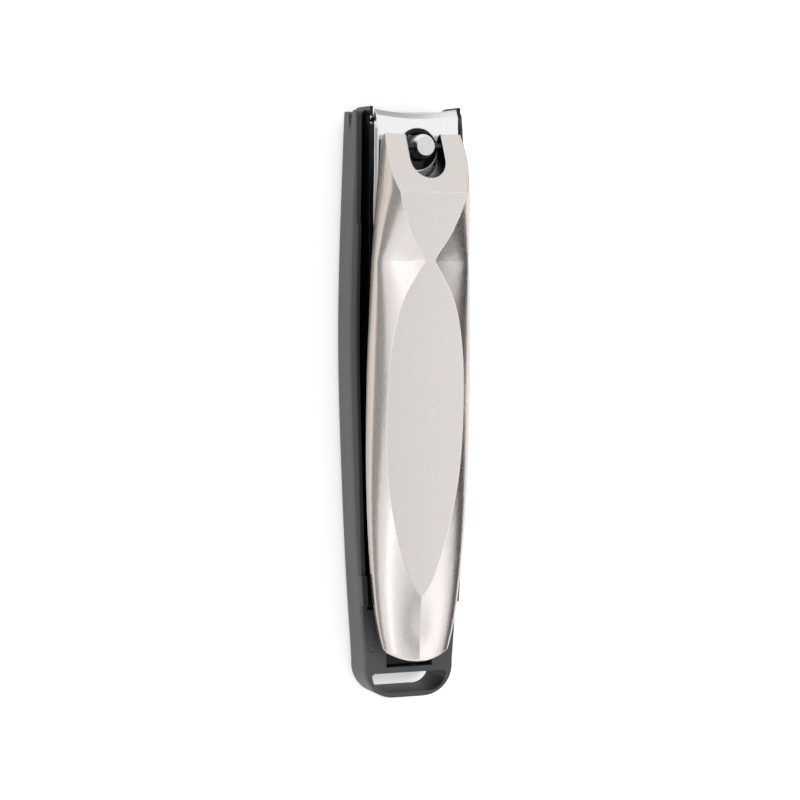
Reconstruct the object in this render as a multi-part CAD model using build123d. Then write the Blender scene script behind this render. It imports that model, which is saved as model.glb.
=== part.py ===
from build123d import *
import os
from math import radians, sin, tan

# Nail clipper with a nail-catching case, lever folded for storage.
# Millimetres.  +X runs along the length towards the jaws, +Y across,
# +Z up from the flat back of the case through the lever.

os.makedirs("parts", exist_ok=True)

# ---- overall ---------------------------------------------------------------
TAIL_X = -49.2           # rear end of the case
CASE_FRONT_X = 48.0      # jaw end of the case side walls
GUARD_FRONT_X = 48.5     # jaw end of the inner guard
MIDDLE_X = (TAIL_X + GUARD_FRONT_X) / 2   # the finished pieces are moved so that this is X = 0
ACROSS = (-12.0, 12.0)   # wider than every piece
CLEAR_Z = 30.0           # higher than every piece

# ---- outer case ------------------------------------------------------------
CASE_WALL = 0.95
CASE_FLOOR = 1.2
CASE_BACK_ROUND = 2.4    # radius of the rounded back edges
CASE_TOP_Z = 8.6         # tail block top face
CASE_PLAN = [(48.0, 9.3), (30.0, 9.95), (9.0, 10.3), (-10.0, 9.75), (-25.0, 9.05), (-38.0, 8.2)]
TAIL_HALF_WIDTH = 7.85
TAIL_STRAIGHT_X = -43.2  # where the sides of the tail start their corner
TAIL_CORNER = 5.2
TAIL_BLOCK_X = -38.6     # front face of the solid tail block
DECK_FRONT_X = -34.2     # thin deck that reaches forward over the rear of the guard
DECK_UNDER_Z = 7.6
BEVEL_FOOT_Z = 7.9       # outer wall leans inward above this height
BEVEL_RUN = 0.8          # by this much at the height below
BEVEL_HEAD_Z = 11.1
RIM_REAR = [(29.5, 9.4), (9.0, 9.5), (-10.0, 9.4), (-24.0, 8.9)]
RIM_FRONT = [(46.8, 7.7), (38.0, 8.5), (29.5, 8.9)]
FLOOR_FRONT_X = 45.2     # the floor stops short of the side walls
# the front of each side wall is split by a slit into two rounded lobes
SLIT_TIP = (44.3, 4.9)
LOWER_LOBE = [(44.6, 0.0), (47.0, 0.9), (47.85, 2.4), (47.3, 4.1)]
UPPER_LOBE = [(47.3, 5.6), (48.0, 6.4), (47.7, 7.3), (46.8, 7.7)]
TAB_X = (-33.4, -28.4)   # raised catch tab on each side wall
TAB_LEAD = 3.0           # the rim meets the tail block this far behind the tab
TAB_TOP_Z = 9.4
STRAP_SLOT_X = (-48.2, -44.95)
STRAP_SLOT_HALF = 6.6
STRAP_SLOT_ROUND = (3.0, 0.5)   # corner radii behind and in front
POCKET_END_X = -43.95    # rear end of the pocket that takes the guard tongue
POCKET_HALF = 4.1
POCKET_FLOOR_Z = 4.4
MARK = (-40.6, 6.5)      # small sunk ring near each side of the tail block top
MARK_R = (0.72, 0.55)
MARK_DEPTH = 0.1

# ---- nail file on the back -------------------------------------------------
FILE_X = (-24.0, 30.0)
FILE_HALF = 4.5
FILE_DEPTH = 0.4
FILE_RECESS = 0.05

# ---- inner guard -----------------------------------------------------------
GUARD_HALF = 7.95
GUARD_TAIL_HALF = 7.0
GUARD_TAPER_X = -18.0
GUARD_REAR_X = -38.0
GUARD_WALL = 0.5
GUARD_END_WALL = 0.9
GUARD_BOTTOM_Z = 1.3
GUARD_FLOOR = 0.8
GUARD_TOP_Z = 10.3
GUARD_TAIL_TOP_Z = 9.0
GUARD_STEP_X = -33.9     # behind this the guard is low enough to pass under the deck
GUARD_STEP_Z = 7.3
GUARD_CHIN = [(48.5, 5.7), (47.6, 2.6), (45.6, 1.3)]   # rounded lower front
LUG_NOTCH_X = (45.6, 46.9)
LUG_NOTCH_Z = 8.9
SEAT_DROP = 0.1          # seat clearance behind the rivets, where the lower leaf dips
RIVET_DIP = 0.9          # depth of the seat holes that clear the lower rivet heads
REST_X = (38.5, 45.0)    # ledges under the front of the lower leaf
REST_Y = (6.3, 7.85)
TONGUE_END_X = -43.7
TONGUE_HALF = 3.9
TONGUE_Z = (4.6, 7.3)

# ---- blades ----------------------------------------------------------------
LEAF_T = 1.1             # sheet thickness of both leaves
LEAF_HALF = 7.37
LEAF_TAIL_HALF = 6.4
LEAF_REAR_X = -36.8
LEAF_GAP = 0.08          # gap between the leaves at the rivets
LEAF_BEVEL = 0.45        # long top edges of the upper leaf
LOWER_TAIL_Z = 4.2       # underside of the lower leaf at the rivets
LOWER_FRONT_Z = 5.5      # underside of the lower leaf near the jaws
UPPER_TAIL_Z = LOWER_TAIL_Z + LEAF_T + LEAF_GAP
UPPER_FRONT_Z = 10.1     # underside of the upper leaf near the jaws
BEND_REAR_X = -28.0
UPPER_BEND_REAR_X = -31.0
BEND_FRONT_X = 38.0
JAW_BEND_X = 46.0
UPPER_EDGE_Z = 10.3      # upper cutting edge
LOWER_EDGE_Z = 8.1       # lower cutting edge
JAW_TIP_X = 47.55        # cutting edge on the centre line
UPPER_JAW_R = 42.0       # hollow of the upper edge seen from above
LOWER_JAW_R = 120.0
UPPER_JAW_HALF = 7.2
LOWER_JAW_HALF = 6.2
LOWER_JAW_LEAD = 0.2     # lower edge ahead of the upper one on the centre line

# ---- tail rivets -----------------------------------------------------------
RIVET_X = -33.0
RIVET_Y = 3.2
RIVET_R = 0.9
RIVET_HEAD_R = 1.4
RIVET_HEAD_T = 0.6
RIVET_CLEAR = 0.06

# ---- lever post, bush and cross pin ------------------------------------------
POST_X = 42.0
POST_R = 1.93
POST_CROWN = (1.1, 0.4)  # taper at the top: height, inward
POST_HEAD_R = 2.9
POST_HEAD_Z = (4.35, 5.45)
POST_TOP_Z = 14.9
BUSH_X = 41.6
BUSH_R = 3.4
BUSH_HOLE_R = 2.4
PIN_Z = 13.7
PIN_R = 0.5
PIN_FIT = 0.05
PIN_HALF = 4.8
ARM_HOLE_HALF = 4.9

# ---- lever -----------------------------------------------------------------
# stations along the lever: X, half width, underside Z, shoulder Z, crest Z, slope at the crest
NOSE_STATIONS = [
    (45.7, 6.4, 12.2, 14.0, 17.0, 2),
    (40.1, 7.0, 12.2, 14.75, 19.35, 3),
    (34.5, 7.5, 12.1, 14.9, 20.8, 9),
]
WAIST_STATIONS = [
    (37.3, 7.2, 12.15, 15.1, 21.9, 4),
    (34.5, 7.5, 12.1, 14.9, 20.8, 9),
    (31.7, 7.73, 12.05, 14.4, 19.9, 15),
    (28.9, 7.95, 12.0, 13.9, 19.1, 20),
    (26.1, 8.13, 11.95, 13.6, 18.2, 22),
    (23.3, 8.3, 11.9, 13.3, 17.3, 24),
    (20.5, 8.42, 11.85, 13.15, 17.95, 22),
]
GRIP_STATIONS = [
    (28.9, 7.95, 12.0, 13.9, 17.75, 22),
    (23.3, 8.3, 11.9, 13.3, 17.3, 24),
    (17.7, 8.5, 11.8, 13.0, 17.85, 21),
    (12.1, 8.7, 11.65, 12.7, 17.6, 11),
    (6.5, 8.85, 11.5, 12.45, 17.25, 4.5),
    (0.9, 8.9, 11.35, 12.2, 16.9, 2.5),
    (-4.7, 8.9, 11.25, 12.1, 16.4, 2),
    (-10.3, 8.82, 11.1, 11.97, 15.85, 2),
    (-15.9, 8.65, 11.0, 11.85, 15.25, 3),
    (-21.5, 8.37, 10.9, 11.7, 14.75, 5),
    (-27.1, 7.93, 10.75, 11.57, 14.33, 7.5),
    (-32.7, 7.32, 10.6, 11.5, 13.7, 3.5),
    (-38.3, 6.35, 10.4, 11.45, 13.15, 0.4),
    (-43.9, 4.65, 10.3, 11.4, 12.75, 0.4),
]
WAIST_X = (23.3, 34.5)   # where the waist loft takes over from the grip and from the nose
QUARTER = 0.5523         # handle length that makes a Bezier quarter arch elliptical
NOSE_X = 43.95
NOSE_Z = 13.6
RIDGE = (34.5, 18.45)
APEX = (22.8, 16.9)
LENS_MID = (-6.0, 14.8)
LENS_END = (-36.0, 13.75)
NOSE_ROUND = 1.98        # radius about the pin that the nose underside keeps to
TAIL_ARC_X = (-40.7, -42.5)
TAIL_ARC_HALF = 5.7
TAIL_BEVEL = 0.35        # top edge of the tail
FORK_HALF = 3.05
FORK_REAR_X = 36.8
LEVER_WALL = 1.3
HOLLOW_X = (-36.0, 28.0)
HOLLOW_ROOF = 1.5        # metal left above the hollow


def prism_z(outline, z0, z1):
    """Extrude a closed plan outline from z0 to z1."""
    face = make_face(Plane.XY.offset(z0) * outline)
    return extrude(face, amount=z1 - z0)


def prism_y(outline):
    """Extrude a closed side outline (drawn as X, Z) right across the clipper."""
    plane = Plane(origin=(0, 0, 0), x_dir=(1, 0, 0), z_dir=(0, -1, 0))
    face = make_face(plane * outline)
    return extrude(face, amount=ACROSS[1], both=True)


def block(x, y, z):
    """Axis-aligned block from three (low, high) pairs."""
    size = [b - a for a, b in (x, y, z)]
    mid = [(a + b) / 2 for a, b in (x, y, z)]
    return Pos(*mid) * Box(*size)


def post_cylinder(x, y, r, z0, z1):
    """Upright cylinder between two heights."""
    return Pos(x, y, (z0 + z1) / 2) * Cylinder(r, z1 - z0)


def cross_cylinder(x, z, r, half):
    """Cylinder lying along Y, centred on the middle plane."""
    return Pos(x, 0, z) * Rot(90, 0, 0) * Cylinder(r, 2 * half)


# ---- outer case ------------------------------------------------------------
def case_plan(inset):
    """Plan outline of the case, moved in by inset, with rounded tail corners."""
    side = [(x, h - inset) for x, h in CASE_PLAN]
    far = [(x, -h) for x, h in reversed(side)]
    half = TAIL_HALF_WIDTH - inset
    end = TAIL_X + inset
    r = TAIL_CORNER - inset
    turn = r * (1 - sin(radians(45)))
    near = ThreePointArc((end + r, half), (end + turn, half - turn), (end, half - r))
    away = ThreePointArc((end, r - half), (end + turn, turn - half), (end + r, -half))
    flank = Polyline(side[-1], (TAIL_STRAIGHT_X, half), (end + r, half))
    back = Polyline((end + r, -half), (TAIL_STRAIGHT_X, -half), far[0])
    rear = Line((end, half - r), (end, r - half))
    front = Line(far[-1], side[0])
    return Spline(*side) + flank + near + rear + away + back + Spline(*far) + front


def lean_block():
    """Upper part of the case blank, whose sides lean inward."""
    foot = make_face(Plane.XY.offset(BEVEL_FOOT_Z) * case_plan(0))
    head = make_face(Plane.XY.offset(BEVEL_HEAD_Z) * case_plan(BEVEL_RUN))
    return loft([foot, head], ruled=True)


def case_side():
    """Side view of the case, with the slit and the two lobes at the front of the walls."""
    step = (TAB_X[0] - TAB_LEAD, CASE_TOP_Z)
    rim = Spline(*RIM_FRONT) + Line(RIM_FRONT[-1], RIM_REAR[0]) + Spline(*RIM_REAR, step)
    back = Polyline(step, (TAIL_X, CASE_TOP_Z), (TAIL_X, 0), LOWER_LOBE[0])
    slit = Polyline(LOWER_LOBE[-1], SLIT_TIP, UPPER_LOBE[0])
    return rim + back + Spline(*LOWER_LOBE) + slit + Spline(*UPPER_LOBE)


def strap_slot():
    """Slot across the tail, nearly square towards the jaws and rounded behind."""
    y = STRAP_SLOT_HALF
    slot = block(STRAP_SLOT_X, (-y, y), (-1, CASE_TOP_Z + 1))
    ends = slot.edges().filter_by(Axis.Z).group_by(Axis.X)
    slot = fillet(ends[0], STRAP_SLOT_ROUND[0])
    ends = slot.edges().filter_by(Axis.Z).group_by(Axis.X)
    return fillet(ends[-1], STRAP_SLOT_ROUND[1])


def case_hollow():
    """Space inside the case: between the walls, under the deck, and the pocket in the tail."""
    room = prism_z(case_plan(CASE_WALL), CASE_FLOOR, CLEAR_Z)
    room &= block((TAIL_BLOCK_X, CASE_FRONT_X + 1), ACROSS, (0, CLEAR_Z))
    room -= block((TAIL_BLOCK_X - 1, DECK_FRONT_X), ACROSS, (DECK_UNDER_Z, CASE_TOP_Z))
    inside = CASE_PLAN[0][1] - CASE_WALL
    room += block((FLOOR_FRONT_X, CASE_FRONT_X + 1), (-inside, inside), (-1, CASE_FLOOR + 0.1))
    pocket = (-POCKET_HALF, POCKET_HALF)
    room += block((POCKET_END_X, TAIL_BLOCK_X + 1), pocket, (POCKET_FLOOR_Z, DECK_UNDER_Z))
    room += block((POCKET_END_X, TAIL_BLOCK_X), pocket, (POCKET_FLOOR_Z, CLEAR_Z))
    return room


def make_case():
    upright = prism_z(case_plan(0), 0, BEVEL_HEAD_Z)
    back = [e for e in upright.edges().group_by(Axis.Z)[0] if e.center().X < CASE_FRONT_X - 1]
    upright = fillet(back, CASE_BACK_ROUND)
    body = upright & block((-60, 60), ACROSS, (0, BEVEL_FOOT_Z))
    body += lean_block()
    body &= prism_y(case_side())
    body += upright & block(TAB_X, ACROSS, (CASE_TOP_Z - 1, TAB_TOP_Z))
    body -= case_hollow()
    body -= strap_slot()
    body -= block(FILE_X, (-FILE_HALF, FILE_HALF), (-1, FILE_DEPTH))
    for side in (1, -1):
        place = (MARK[0], side * MARK[1])
        ring = post_cylinder(*place, MARK_R[0], CASE_TOP_Z - MARK_DEPTH, CLEAR_Z)
        body -= ring - post_cylinder(*place, MARK_R[1], 0, CLEAR_Z)
    return body


def make_file():
    return block(FILE_X, (-FILE_HALF, FILE_HALF), (FILE_RECESS, FILE_DEPTH))


# ---- inner guard -----------------------------------------------------------
def guard_plan(inset, front, rear):
    """Plan outline of the guard, moved in by inset."""
    half = GUARD_HALF - inset
    tail = GUARD_TAIL_HALF - inset
    points = [(front, half), (GUARD_TAPER_X, half), (rear, tail)]
    far = [(x, -y) for x, y in reversed(points)]
    return Polyline(*points, *far, close=True)


def guard_side():
    """Side view of the guard: rounded chin, level top that drops in two stages to the rear."""
    chin = Spline(*GUARD_CHIN)
    rest = Polyline(
        GUARD_CHIN[-1],
        (GUARD_REAR_X - 1, GUARD_BOTTOM_Z),
        (GUARD_REAR_X - 1, GUARD_STEP_Z),
        (GUARD_STEP_X, GUARD_STEP_Z),
        (GUARD_STEP_X, GUARD_TAIL_TOP_Z),
        (GUARD_TAPER_X, GUARD_TOP_Z),
        (LUG_NOTCH_X[0], GUARD_TOP_Z),
        (LUG_NOTCH_X[0], LUG_NOTCH_Z),
        (LUG_NOTCH_X[1], LUG_NOTCH_Z),
        (LUG_NOTCH_X[1], GUARD_TOP_Z),
        (GUARD_FRONT_X, GUARD_TOP_Z),
        GUARD_CHIN[0],
    )
    return chin + rest


def make_guard():
    """Open channel with a seat for the leaves at the tail, two rests in front and a tail tongue."""
    body = prism_z(guard_plan(0, GUARD_FRONT_X, GUARD_REAR_X), GUARD_BOTTOM_Z, GUARD_TOP_Z)
    floor_z = GUARD_BOTTOM_Z + GUARD_FLOOR
    channel = guard_plan(GUARD_WALL, GUARD_FRONT_X + 1, GUARD_REAR_X + GUARD_END_WALL)
    body -= prism_z(channel, floor_z, CLEAR_Z)
    body &= prism_y(guard_side())
    root = floor_z - 0.1
    inner = GUARD_TAIL_HALF - GUARD_WALL
    seat = block((RIVET_X, BEND_REAR_X - 1), (-inner, inner), (root, LOWER_TAIL_Z))
    seat += block((GUARD_REAR_X + 0.5, RIVET_X), (-inner, inner), (root, LOWER_TAIL_Z - SEAT_DROP))
    for y in (RIVET_Y, -RIVET_Y):
        seat -= post_cylinder(RIVET_X, y, RIVET_HEAD_R + 0.2, LOWER_TAIL_Z - RIVET_DIP, CLEAR_Z)
    body += seat
    for side in (1, -1):
        across = sorted((side * REST_Y[0], side * REST_Y[1]))
        body += block(REST_X, across, (root, LOWER_FRONT_Z))
    return body + block((TONGUE_END_X, GUARD_REAR_X + 0.5), (-TONGUE_HALF, TONGUE_HALF), TONGUE_Z)


# ---- blades ----------------------------------------------------------------
def leaf_plan():
    points = [(JAW_BEND_X, LEAF_HALF), (GUARD_TAPER_X, LEAF_HALF), (LEAF_REAR_X, LEAF_TAIL_HALF)]
    far = [(x, -y) for x, y in reversed(points)]
    return Polyline(*points, *far, close=True)


def leaf(tail_z, front_z, bend_rear):
    """Sheet leaf: flat at the rivets, sloping, flat again behind the jaw."""
    outline = Polyline(
        (LEAF_REAR_X, tail_z),
        (bend_rear, tail_z),
        (BEND_FRONT_X, front_z),
        (JAW_BEND_X, front_z),
        (JAW_BEND_X, front_z + LEAF_T),
        (BEND_FRONT_X, front_z + LEAF_T),
        (bend_rear, tail_z + LEAF_T),
        (LEAF_REAR_X, tail_z + LEAF_T),
        close=True,
    )
    return prism_y(outline) & prism_z(leaf_plan(), 0, CLEAR_Z)


def bevel_long_edges(body, tail_z, front_z, bend_rear):
    """Chamfer the two long top edges of a leaf."""
    top_edges = []
    for edge in body.edges():
        at = edge.center()
        share = (bend_rear - at.X) / (bend_rear - BEND_FRONT_X)
        under = tail_z + (front_z - tail_z) * min(max(share, 0), 1)
        if abs(at.Y) > LEAF_TAIL_HALF - 0.5 and edge.length > 2 and at.Z > under + LEAF_T / 2:
            top_edges.append(edge)
    return chamfer(top_edges, LEAF_BEVEL)


def jaw(points, tip_x, radius, half):
    """Sweep a jaw section round an upright axis so that its edge is hollow."""
    axis = Axis((tip_x + radius, 0, 0), (0, 0, 1))
    plane = Plane(origin=(0, 0, 0), x_dir=(1, 0, 0), z_dir=(0, -1, 0))
    face = make_face(plane * Polyline(*points, close=True))
    ring = revolve(face, axis, 30).rotate(axis, -15)
    return ring & block((40, 52), (-half, half), (0, CLEAR_Z))


def make_upper_blade():
    top = UPPER_FRONT_Z + LEAF_T
    section = [
        (JAW_BEND_X - 1.6, top),
        (JAW_BEND_X + 0.1, top),
        (JAW_BEND_X + 0.5, top - 0.2),
        (JAW_TIP_X, UPPER_EDGE_Z),
        (JAW_TIP_X - 0.7, UPPER_EDGE_Z - 0.1),
        (JAW_BEND_X - 0.6, UPPER_FRONT_Z - 0.1),
        (JAW_BEND_X - 1.6, UPPER_FRONT_Z),
    ]
    body = leaf(UPPER_TAIL_Z, UPPER_FRONT_Z, UPPER_BEND_REAR_X)
    body = bevel_long_edges(body, UPPER_TAIL_Z, UPPER_FRONT_Z, UPPER_BEND_REAR_X)
    body += jaw(section, JAW_TIP_X, UPPER_JAW_R, UPPER_JAW_HALF)
    body -= post_cylinder(BUSH_X, 0, BUSH_R, 0, CLEAR_Z)
    for y in (RIVET_Y, -RIVET_Y):
        body -= post_cylinder(RIVET_X, y, RIVET_R + RIVET_CLEAR, 0, CLEAR_Z)
    return body


def make_lower_blade():
    tip = JAW_TIP_X + LOWER_JAW_LEAD
    section = [
        (JAW_BEND_X - 1.6, LOWER_FRONT_Z),
        (JAW_BEND_X + 0.1, LOWER_FRONT_Z),
        (JAW_BEND_X + 0.5, LOWER_FRONT_Z + 0.25),
        (tip, LOWER_EDGE_Z),
        (tip - 0.7, LOWER_EDGE_Z - 0.2),
        (JAW_BEND_X - 0.6, LOWER_FRONT_Z + LEAF_T + 0.2),
        (JAW_BEND_X - 1.6, LOWER_FRONT_Z + LEAF_T),
    ]
    body = leaf(LOWER_TAIL_Z, LOWER_FRONT_Z, BEND_REAR_X)
    body += jaw(section, tip, LOWER_JAW_R, LOWER_JAW_HALF)
    body -= post_cylinder(POST_X, 0, POST_R + 0.1, 0, CLEAR_Z)
    for y in (RIVET_Y, -RIVET_Y):
        body -= post_cylinder(RIVET_X, y, RIVET_R + RIVET_CLEAR, 0, CLEAR_Z)
    return body


def make_rivets():
    """Two headed rivets through both leaves."""
    under = LOWER_TAIL_Z - RIVET_CLEAR
    over = UPPER_TAIL_Z + LEAF_T + RIVET_CLEAR
    both = []
    for y in (RIVET_Y, -RIVET_Y):
        shank = post_cylinder(RIVET_X, y, RIVET_R, under - RIVET_HEAD_T, over + RIVET_HEAD_T)
        low = post_cylinder(RIVET_X, y, RIVET_HEAD_R, under - RIVET_HEAD_T, under)
        high = post_cylinder(RIVET_X, y, RIVET_HEAD_R, over, over + RIVET_HEAD_T)
        crown = high.edges().group_by(Axis.Z)[-1]
        both.append(shank + low + chamfer(crown, 0.25))
    return both[0] + both[1]


# ---- post, bush, pin ---------------------------------------------------------
def make_post():
    head = post_cylinder(POST_X, 0, POST_HEAD_R, *POST_HEAD_Z)
    fall, step = POST_CROWN
    shaft = post_cylinder(POST_X, 0, POST_R, POST_HEAD_Z[0], POST_TOP_Z - fall)
    crown = Pos(POST_X, 0, POST_TOP_Z - fall / 2) * Cone(POST_R, POST_R - step, fall)
    return head + shaft + crown - cross_cylinder(POST_X, PIN_Z, PIN_R + PIN_FIT, POST_HEAD_R)


def make_bush():
    ring = post_cylinder(BUSH_X, 0, BUSH_R, UPPER_FRONT_Z - 0.2, UPPER_FRONT_Z + LEAF_T)
    return ring - post_cylinder(POST_X, 0, BUSH_HOLE_R, 0, CLEAR_Z)


def make_pin():
    return cross_cylinder(POST_X, PIN_Z, PIN_R, PIN_HALF)


# ---- lever -------------------------------------------------------------------
def lever_section(x, half, under, shoulder, crest, slope):
    """Closed section of the arched blank; slope is the fall in degrees either side of the crest."""
    plane = Plane(origin=(x, 0, 0), x_dir=(0, 1, 0), z_dir=(1, 0, 0))
    rise = QUARTER * (crest - shoulder)
    reach = QUARTER * half
    brow = crest - reach * tan(radians(slope))
    base = Polyline((-half, shoulder), (-half, under), (half, under), (half, shoulder))
    right = Bezier((half, shoulder), (half, shoulder + rise), (reach, brow), (0, crest))
    left = Bezier((0, crest), (-reach, brow), (-half, shoulder + rise), (-half, shoulder))
    return plane * make_face([*base.edges(), right, left])


def facet_cut(lift):
    """Everything above the nose, ridge and lens faces, dropped by lift."""
    nose = (NOSE_X, NOSE_Z - lift)
    slope = (NOSE_Z - RIDGE[1]) / (NOSE_X - RIDGE[0])
    front = (50.0, NOSE_Z - lift + slope * (50.0 - NOSE_X))
    ridge = (RIDGE[0], RIDGE[1] - lift)
    apex = (APEX[0], APEX[1] - lift)
    lens_mid = (LENS_MID[0], LENS_MID[1] - lift)
    lens_end = (LENS_END[0], LENS_END[1] - lift)
    facets = Polyline(front, nose, ridge, apex)
    lens = ThreePointArc(apex, lens_mid, lens_end)
    close = Polyline(lens_end, (-52.0, LENS_END[1]), (-52.0, CLEAR_Z), (50.0, CLEAR_Z), front)
    return prism_y(facets + lens + close)


def fork_slot():
    """Slot between the fork arms: round at the rear, open at the nose."""
    centre = FORK_REAR_X + FORK_HALF
    slot = post_cylinder(centre, 0, FORK_HALF, 0, CLEAR_Z)
    return slot + block((centre, 50), (-FORK_HALF, FORK_HALF), (0, CLEAR_Z))


def nose_trim():
    """Corner below and ahead of the pin that the nose gives up to swing over the blade."""
    corner = block((POST_X, 50), ACROSS, (5, PIN_Z))
    return corner - cross_cylinder(POST_X, PIN_Z, NOSE_ROUND, ACROSS[1])


def lofted(stations, x):
    """Arched body through the stations, kept between the two values of x."""
    return loft([lever_section(*s) for s in stations]) & block(x, ACROSS, (0, CLEAR_Z))


def lever_hollow():
    """Pocket under the lever that follows its arch, leaving an even wall."""
    inner = []
    for x, half, under, shoulder, crest, slope in GRIP_STATIONS:
        inner.append((x, half - LEVER_WALL, under - 2, shoulder, crest - HOLLOW_ROOF, slope))
    return lofted(inner, HOLLOW_X) - facet_cut(HOLLOW_ROOF)


def tail_plan():
    """Plan outline that rounds off the tail of the lever."""
    x0, x1 = TAIL_ARC_X
    h = TAIL_ARC_HALF
    low, high = ACROSS
    tail = ThreePointArc((x0, h), (x1, 0), (x0, -h))
    front = RIDGE[0]
    return tail + Polyline((x0, -h), (x0, low), (front, low), (front, high), (x0, high), (x0, h))


def make_lever():
    body = lofted(GRIP_STATIONS, (-50, WAIST_X[0])) & prism_z(tail_plan(), 0, CLEAR_Z)
    body += lofted(WAIST_STATIONS, WAIST_X)
    body += lofted(NOSE_STATIONS, (WAIST_X[1], NOSE_X))
    body -= facet_cut(0)
    rear = body.edges().filter_by(lambda e: e.center().X < TAIL_ARC_X[0] - 1)
    body = chamfer(rear.sort_by(Axis.Z)[-1], TAIL_BEVEL)
    body -= fork_slot()
    body -= nose_trim()
    body -= lever_hollow()
    body -= cross_cylinder(POST_X, PIN_Z, PIN_R + PIN_FIT, ARM_HOLE_HALF)
    return body


NODES = {
    "case_shell": make_case,
    "nail_file": make_file,
    "inner_guard": make_guard,
    "lower_blade": make_lower_blade,
    "upper_blade": make_upper_blade,
    "tail_rivets": make_rivets,
    "lever_post": make_post,
    "post_bush": make_bush,
    "lever_pin": make_pin,
    "lever": make_lever,
}

for name, make in NODES.items():
    shape = Pos(-MIDDLE_X, 0, 0) * make()
    print(name, type(shape).__name__, len(shape.solids()), round(shape.volume, 2))
    export_step(shape, "parts/" + name + ".step")
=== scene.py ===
import bpy
from math import radians, sin, cos
from mathutils import Matrix, Vector


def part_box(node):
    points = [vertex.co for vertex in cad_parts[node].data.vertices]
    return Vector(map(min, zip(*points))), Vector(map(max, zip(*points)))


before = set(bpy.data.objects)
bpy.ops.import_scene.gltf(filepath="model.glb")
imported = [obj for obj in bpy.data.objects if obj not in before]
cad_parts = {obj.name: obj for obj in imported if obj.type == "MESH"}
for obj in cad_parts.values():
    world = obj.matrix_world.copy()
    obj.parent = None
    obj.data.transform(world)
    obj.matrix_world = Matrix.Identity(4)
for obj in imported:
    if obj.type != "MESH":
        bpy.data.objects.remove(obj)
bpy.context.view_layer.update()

# ---- camera: above the clipper, a little to its +Y side and towards the jaws -----
CAM_YAW = 21.87           # degrees towards +Y
CAM_PITCH = 3.67          # degrees towards +X
CAM_ROLL = -0.22
CAM_DISTANCE = 0.420      # metres from the aim point
CAM_AIM = (0.00075, 0.00161, 0.008)
CAM_LENS = 114.4          # millimetres
CAM_SENSOR = 36.0

# ---- colours, linear ---------------------------------------------------------
CASE_GREY = (0.088, 0.088, 0.094, 1)
CASE_GREY_DEEP = (0.076, 0.076, 0.082, 1)
CASE_PAINTED_SHADE = (0.014, 0.014, 0.015, 1)       # painted shade: the lever's soft shadow on the upper, inward-leaning part of the walls, and the shade inside the strap slot
# lighter along the case's hard edges
CASE_EDGE_LIGHT = (0.15, 0.15, 0.155, 1)
GUARD_BLACK = (0.004, 0.004, 0.005, 1)
GUARD_DUST = (0.012, 0.012, 0.013, 1)
CHAMPAGNE = (0.80, 0.75, 0.725, 1)
CHAMPAGNE_DEEP = (0.78, 0.73, 0.70, 1)
# painted highlight along the lever's hard edges
CHAMPAGNE_EDGE_HIGHLIGHT = (0.96, 0.94, 0.91, 1)
CHAMPAGNE_SIDE_PAINTED_SHADE = (0.52, 0.455, 0.405, 1)    # painted shade: browner on the steep sides, for the darker surroundings they reflect
FORK_SLOT_PAINTED_SHADE = (0.009, 0.008, 0.007, 1)     # painted shade inside the fork slot
STEEL_BRIGHT = (0.95, 0.95, 0.955, 1)
STEEL_BRIGHT_DEEP = (0.90, 0.90, 0.91, 1)
STEEL_SOFT = (0.80, 0.80, 0.805, 1)
STEEL_SOFT_DEEP = (0.70, 0.70, 0.71, 1)
# painted shade: the dark colour of the pin in the fork slot
PIN_PAINTED_SHADE = (0.10, 0.10, 0.105, 1)
STEEL_FILE = (0.60, 0.60, 0.61, 1)
STEEL_FILE_DEEP = (0.32, 0.32, 0.33, 1)
FLOOR_WHITE = (0.93, 0.93, 0.93, 1)
FLOOR_WHITE_PALE = (0.95, 0.95, 0.95, 1)
FLOOR_GLOW = 0.45         # light the floor gives off, so that it stays white

# ---- radius of the softened edges, metres ---------------------------------------
CASE_EDGE = 0.00018
GUARD_EDGE = 0.00008
BLADE_EDGE = 0.00025
TURNED_EDGE = 0.00012
LEVER_EDGE = 0.00022

# ---- places on the clipper used by the materials, metres -----------------------
WALL_SHADE_Z = (0.0066, 0.0094)   # painted shade: the case darkens between these heights
WALL_SHADE_X = (-0.040, -0.034)   # and only ahead of its tail
SLOT_WALL_X = -0.0443             # strap slot walls lie behind this
SLOT_WALL_Y = 0.0064
FORK_WALL_X = 0.0368              # fork slot walls lie ahead of this
FORK_WALL_Y = 0.0033

# ---- studio: name, place, aim, level size, size across that, power or shade -----
WORLD_STRENGTH = 0.95
FLOOR_SIZE = 6.0
FLOOR_GAP = 0.0001        # the floor lies this far below the case
LIGHTS = [
    ("strip_left", (-0.05, 0.16, 0.80), (0, 0, 0.01), 0.70, 0.08, 0.26),
    ("strip_right", (-0.05, -0.52, 0.64), (0, 0, 0.01), 0.60, 0.22, 0.24),
]
FLAGS = [
    ("flag_left", (0, 0.17, 0.085), (0, 0, 0.085), 0.5, 0.17, 0.42),
    ("flag_right", (0, -0.20, 0.06), (0, 0, 0.06), 0.5, 0.12, 0.03),
    ("flag_over", (-0.10, -0.17, 0.80), (0, 0, 0.01), 0.60, 0.13, 0.15),
    ("flag_front", (0.26, -0.05, 0.045), (0, -0.05, 0.045), 0.40, 0.09, 0.50),
]


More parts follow.
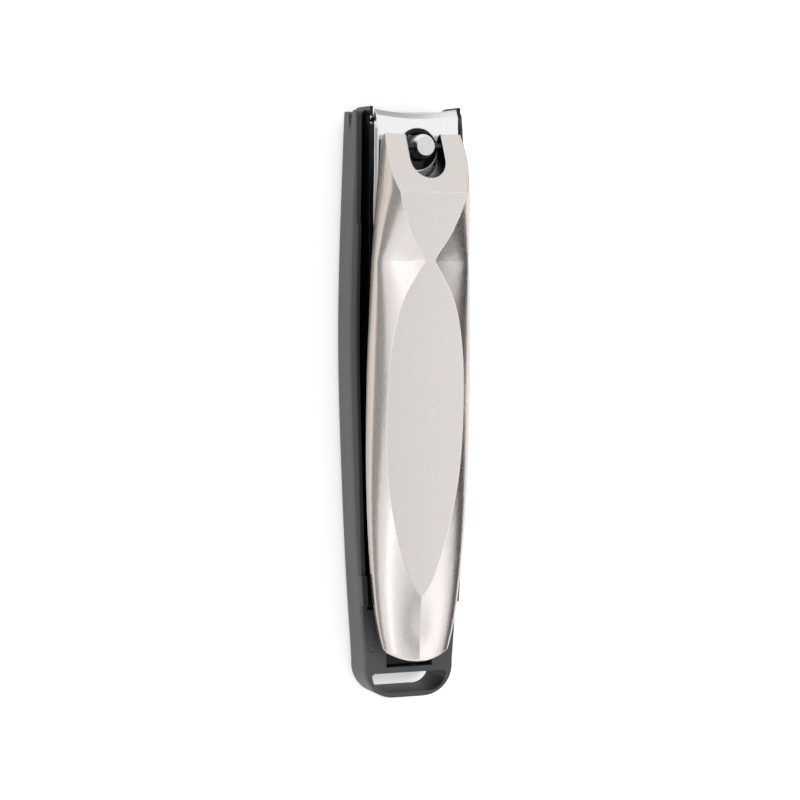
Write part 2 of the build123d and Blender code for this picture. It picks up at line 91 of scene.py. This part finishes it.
# ---- node helpers --------------------------------------------------------------
class Shader:
    """A material with a Principled shader and a few shortcuts for adding nodes."""

    def __init__(self, name):
        self.mat = bpy.data.materials.new(name)
        self.mat.use_nodes = True
        self.tree = self.mat.node_tree
        self.bsdf = self.tree.nodes["Principled BSDF"]
        coord = self.add("ShaderNodeTexCoord")
        self.coord = coord.outputs["Object"]
        self.normal = coord.outputs["Normal"]

    def add(self, kind, **sockets):
        node = self.tree.nodes.new(kind)
        for key, value in sockets.items():
            self.feed(node.inputs[key], value)
        return node

    def feed(self, socket, value):
        if isinstance(value, bpy.types.NodeSocket):
            self.tree.links.new(value, socket)
        else:
            socket.default_value = value

    def scaled(self, x, y, z):
        """Object coordinates stretched along each axis."""
        mapping = self.add("ShaderNodeMapping", Vector=self.coord)
        mapping.inputs["Scale"].default_value = (x, y, z)
        return mapping.outputs["Vector"]

    def noise(self, vector, scale, detail=3.0, rough=0.55):
        node = self.add("ShaderNodeTexNoise", Vector=vector, Scale=scale, Detail=detail, Roughness=rough)
        return node.outputs["Fac"]

    def remap(self, value, low, high, out_low, out_high):
        node = self.add("ShaderNodeMapRange", Value=value)
        node.inputs["From Min"].default_value = low
        node.inputs["From Max"].default_value = high
        node.inputs["To Min"].default_value = out_low
        node.inputs["To Max"].default_value = out_high
        return node.outputs["Result"]

    def blend(self, fac, a, b):
        node = self.tree.nodes.new("ShaderNodeMix")
        node.data_type = "RGBA"
        self.feed(node.inputs["Factor"], fac)
        self.feed(node.inputs["A"], a)
        self.feed(node.inputs["B"], b)
        return node.outputs["Result"]

    def math(self, op, a, b=0.0):
        node = self.tree.nodes.new("ShaderNodeMath")
        node.operation = op
        self.feed(node.inputs[0], a)
        self.feed(node.inputs[1], b)
        return node.outputs[0]

    def bump(self, height, strength, distance, normal=None):
        node = self.add("ShaderNodeBump", Height=height, Strength=strength, Distance=distance)
        if normal is not None:
            self.feed(node.inputs["Normal"], normal)
        return node.outputs["Normal"]

    def rounded(self, radius):
        """Normal with the hard edges rounded off."""
        node = self.add("ShaderNodeBevel", Radius=radius)
        node.samples = 6
        return node.outputs["Normal"]

    def edge_mask(self, rounded, gain):
        """1 along hard edges and 0 away from them, from the rounded normal."""
        plain = self.add("ShaderNodeNewGeometry").outputs["Normal"]
        dot = self.tree.nodes.new("ShaderNodeVectorMath")
        dot.operation = "DOT_PRODUCT"
        self.feed(dot.inputs[0], rounded)
        self.feed(dot.inputs[1], plain)
        return self.remap(dot.outputs["Value"], 1.0, 1.0 - gain, 0.0, 1.0)

    def part(self, vector, axis):
        """One component of a vector."""
        return self.add("ShaderNodeSeparateXYZ", Vector=vector).outputs[axis]

    def steep(self, low, high):
        """0 on faces that look up or down, 1 on upright ones."""
        up = self.math("ABSOLUTE", self.part(self.normal, "Z"))
        return self.remap(up, high, low, 0.0, 1.0)

    def recess(self, side, x, half):
        """1 on upright walls on one side of x that lie within half of the middle."""
        beyond = self.math(side, self.part(self.coord, "X"), x)
        inside = self.math("LESS_THAN", self.math("ABSOLUTE", self.part(self.coord, "Y")), half)
        return self.math("MULTIPLY", self.math("MULTIPLY", beyond, inside), self.steep(0.3, 0.6))

    def set(self, **sockets):
        for key, value in sockets.items():
            self.feed(self.bsdf.inputs[key.replace("_", " ")], value)


def case_plastic():
    """Satin grey moulded plastic with a fine grain, with painted shade towards the inner rim and in the
    slot.
    """
    s = Shader("case_satin_plastic")
    cloud = s.noise(s.coord, 90.0, 2.0)
    grain = s.noise(s.coord, 5200.0, 2.0)
    colour = s.blend(s.remap(cloud, 0.35, 0.65, 0.0, 1.0), CASE_GREY_DEEP, CASE_GREY)
    # painted shade: the upper walls darken towards the rim, ahead of the tail, for the lever's soft
    # shadow
    height = s.part(s.coord, "Z")
    rim = s.remap(height, *WALL_SHADE_Z, 0.0, 0.85)
    ahead = s.remap(s.part(s.coord, "X"), *WALL_SHADE_X, 0.0, 1.0)
    colour = s.blend(s.math("MULTIPLY", rim, ahead), colour, CASE_PAINTED_SHADE)
    # painted shade on the upright walls inside the strap slot
    colour = s.blend(s.recess("LESS_THAN", SLOT_WALL_X, SLOT_WALL_Y), colour, CASE_PAINTED_SHADE)
    round_normal = s.rounded(CASE_EDGE)
    # lighter along the hard edges
    colour = s.blend(s.math("MULTIPLY", s.edge_mask(round_normal, 0.25), 0.30), colour, CASE_EDGE_LIGHT)
    s.set(Base_Color=colour, Roughness=s.remap(grain, 0.3, 0.7, 0.42, 0.52))
    s.set(Normal=s.bump(grain, 0.10, 0.00004, round_normal))
    s.bsdf.inputs["Specular IOR Level"].default_value = 0.35
    return s.mat


def guard_gloss():
    """Glossy black plastic with hairline handling marks."""
    s = Shader("guard_gloss_black")
    marks = s.noise(s.scaled(60, 1800, 1800), 1.0, 3.0)
    colour = s.blend(s.remap(marks, 0.5, 0.8, 0.0, 1.0), GUARD_BLACK, GUARD_DUST)
    s.set(Base_Color=colour, Roughness=s.remap(marks, 0.4, 0.75, 0.12, 0.26))
    s.set(Normal=s.bump(marks, 0.05, 0.00002, s.rounded(GUARD_EDGE)))
    s.bsdf.inputs["Specular IOR Level"].default_value = 0.25
    return s.mat


def blade_chrome():
    """Polished blade steel with faint lengthwise polishing lines."""
    s = Shader("blade_polished_steel")
    lines = s.noise(s.scaled(90, 5200, 5200), 1.0, 4.0)
    round_normal = s.rounded(BLADE_EDGE)
    colour = s.blend(s.remap(lines, 0.3, 0.7, 0.0, 1.0), STEEL_BRIGHT_DEEP, STEEL_BRIGHT)
    s.set(Base_Color=colour, Roughness=s.remap(lines, 0.3, 0.7, 0.08, 0.16))
    s.set(Normal=s.bump(lines, 0.04, 0.000005, round_normal))
    s.bsdf.inputs["Metallic"].default_value = 1.0
    return s.mat


def turned_steel(name, centre, light, deep):
    """Nickelled turned steel with fine rings about an upright axis at centre."""
    s = Shader(name)
    shift = s.tree.nodes.new("ShaderNodeVectorMath")
    shift.operation = "SUBTRACT"
    s.feed(shift.inputs[0], s.coord)
    shift.inputs[1].default_value = centre
    ring = s.add("ShaderNodeTexWave", Vector=shift.outputs[0], Scale=1400.0, Distortion=0.4)
    ring.wave_type = "RINGS"
    ring.rings_direction = "Z"
    height = ring.outputs["Fac"]
    s.set(Base_Color=s.blend(height, deep, light), Roughness=s.remap(height, 0.0, 1.0, 0.26, 0.36))
    s.set(Normal=s.bump(height, 0.08, 0.00001, s.rounded(TURNED_EDGE)))
    s.bsdf.inputs["Metallic"].default_value = 1.0
    return s.mat


def file_steel():
    """Etched file plate: two crossing rows of fine teeth."""
    s = Shader("file_cross_cut")
    heights = []
    for angle in (35, -35):
        mapping = s.add("ShaderNodeMapping", Vector=s.coord)
        mapping.inputs["Rotation"].default_value = (0, 0, radians(angle))
        wave = s.add("ShaderNodeTexWave", Vector=mapping.outputs["Vector"], Scale=420.0)
        heights.append(wave.outputs["Fac"])
    teeth = s.math("MINIMUM", heights[0], heights[1])
    colour = s.blend(teeth, STEEL_FILE_DEEP, STEEL_FILE)
    s.set(Base_Color=colour, Roughness=s.remap(teeth, 0.0, 1.0, 0.46, 0.32))
    s.set(Normal=s.bump(teeth, 0.7, 0.00012))
    s.bsdf.inputs["Metallic"].default_value = 1.0
    return s.mat


def lever_satin():
    """Champagne satin plating with a fine lengthwise brush, a painted highlight along the edges, painted
    shade making the steep sides browner, and painted shade in the fork slot.
    """
    s = Shader("lever_satin_champagne")
    brush = s.noise(s.scaled(60, 9000, 9000), 1.0, 2.0)
    cloud = s.noise(s.coord, 70.0, 2.0)
    round_normal = s.rounded(LEVER_EDGE)
    colour = s.blend(s.remap(cloud, 0.3, 0.7, 0.0, 1.0), CHAMPAGNE_DEEP, CHAMPAGNE)
    # painted shade: the steep sides turn browner, for the darker surroundings they reflect
    colour = s.blend(s.steep(0.25, 0.92), colour, CHAMPAGNE_SIDE_PAINTED_SHADE)
    # painted highlight: a bright line along the hard edges
    colour = s.blend(s.math("MULTIPLY", s.edge_mask(round_normal, 0.06), 0.75), colour, CHAMPAGNE_EDGE_HIGHLIGHT)
    # painted shade on the upright walls inside the fork slot
    colour = s.blend(s.recess("GREATER_THAN", FORK_WALL_X, FORK_WALL_Y), colour, FORK_SLOT_PAINTED_SHADE)
    s.set(Base_Color=colour, Roughness=s.remap(brush, 0.3, 0.7, 0.24, 0.30))
    s.set(Normal=s.bump(brush, 0.012, 0.000003, round_normal))
    s.bsdf.inputs["Metallic"].default_value = 1.0
    return s.mat


def floor_paint():
    s = Shader("stage_pale_floor")
    cloud = s.noise(s.coord, 6.0, 2.0)
    s.set(Base_Color=s.blend(s.remap(cloud, 0.3, 0.7, 0.0, 1.0), FLOOR_WHITE, FLOOR_WHITE_PALE))
    s.set(Roughness=0.9)
    s.bsdf.inputs["Emission Color"].default_value = (1, 1, 1, 1)
    s.bsdf.inputs["Emission Strength"].default_value = FLOOR_GLOW
    return s.mat


# ---- finishing the CAD nodes -------------------------------------------------------
def paint(node, mat):
    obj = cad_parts[node]
    obj.data.materials.clear()
    obj.data.materials.append(mat)


def dress_nodes():
    post_low, post_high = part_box("lever_post")
    post_axis = ((post_low[0] + post_high[0]) / 2, 0, 0)
    turned = turned_steel("post_turned_steel", post_axis, STEEL_SOFT, STEEL_SOFT_DEEP)
    chrome = blade_chrome()
    guard = guard_gloss()
    paint("case_shell", case_plastic())
    paint("nail_file", file_steel())
    paint("inner_guard", guard)
    paint("post_bush", guard)
    paint("upper_blade", chrome)
    paint("lower_blade", chrome)
    paint("tail_rivets", turned_steel("rivet_turned_steel", (0, 0, 0), STEEL_SOFT, STEEL_SOFT_DEEP))
    paint("lever_post", turned)
    # painted shade: the pin sits deep in the fork slot, so it is coloured dark
    paint("lever_pin", turned_steel("pin_steel_painted_shade", post_axis, PIN_PAINTED_SHADE, FORK_SLOT_PAINTED_SHADE))
    paint("lever", lever_satin())


# ---- stage ---------------------------------------------------------------------
def make_floor():
    bpy.ops.mesh.primitive_plane_add(size=FLOOR_SIZE, location=(0, 0, -FLOOR_GAP))
    floor = bpy.context.object
    floor.name = "stage_floor"
    floor.data.materials.append(floor_paint())


def placed(place, aim, facing):
    """Matrix at place whose +Z (or -Z, when facing is -1) points at aim, with X kept level."""
    axis = facing * (Vector(aim) - Vector(place)).normalized()
    level = Vector((1, 0, 0)) if abs(axis.x) < 0.9 else Vector((0, 1, 0))
    across = axis.cross(level).normalized()
    along = across.cross(axis)
    return Matrix.Translation(place) @ Matrix((along, across, axis)).transposed().to_4x4()


def softbox(name, place, aim, size_x, size_y, power):
    """Rectangular area light at place, facing aim."""
    data = bpy.data.lights.new(name, "AREA")
    data.shape = "RECTANGLE"
    data.size = size_x
    data.size_y = size_y
    data.energy = power
    light = bpy.data.objects.new(name, data)
    bpy.context.collection.objects.link(light)
    light.matrix_world = placed(place, aim, -1)


def flag(name, place, aim, size_x, size_y, shade):
    """Matt card that shows only in reflections and darkens what the metal reflects."""
    bpy.ops.mesh.primitive_plane_add(size=1.0)
    card = bpy.context.object
    card.name = name
    card.matrix_world = placed(place, aim, 1) @ Matrix.Diagonal((size_x, size_y, 1, 1))
    s = Shader(name + "_paint")
    cloud = s.noise(s.coord, 4.0, 2.0)
    deep = (shade * 0.9, shade * 0.9, shade * 0.9, 1)
    s.set(Base_Color=s.blend(cloud, deep, (shade, shade, shade, 1)), Roughness=0.95)
    card.data.materials.append(s.mat)
    card.visible_camera = False


def make_lights():
    world = bpy.data.worlds.new("studio")
    world.use_nodes = True
    background = world.node_tree.nodes["Background"]
    background.inputs["Color"].default_value = (1, 1, 1, 1)
    background.inputs["Strength"].default_value = WORLD_STRENGTH
    bpy.context.scene.world = world
    for light in LIGHTS:
        softbox(*light)
    for card in FLAGS:
        flag(*card)


def make_camera():
    """Camera aimed along the axis set by yaw and pitch, with +X up in the picture."""
    right = Vector((0, -1, 0))
    up = Vector((1, 0, 0))
    back = Vector((0, 0, 1))
    yaw, pitch, roll = radians(CAM_YAW), radians(CAM_PITCH), radians(CAM_ROLL)
    # yaw about the picture's upright axis, then pitch about its level axis, then roll
    r1 = cos(yaw) * right + sin(yaw) * back
    b1 = cos(yaw) * back - sin(yaw) * right
    u2 = cos(pitch) * up - sin(pitch) * b1
    b2 = cos(pitch) * b1 + sin(pitch) * up
    r3 = cos(roll) * r1 - sin(roll) * u2
    u3 = cos(roll) * u2 + sin(roll) * r1
    place = Vector(CAM_AIM) + CAM_DISTANCE * b2
    turn = Matrix((r3, u3, b2)).transposed().to_4x4()
    data = bpy.data.cameras.new("camera")
    data.lens = CAM_LENS
    data.sensor_width = CAM_SENSOR
    data.clip_start = 0.01
    camera = bpy.data.objects.new("camera", data)
    bpy.context.collection.objects.link(camera)
    camera.matrix_world = Matrix.Translation(place) @ turn
    bpy.context.scene.camera = camera


def make_view():
    view = bpy.context.scene.view_settings
    view.view_transform = "Standard"
    view.look = "None"
    view.exposure = 0.0


make_camera()
make_view()
make_floor()
make_lights()
dress_nodes()
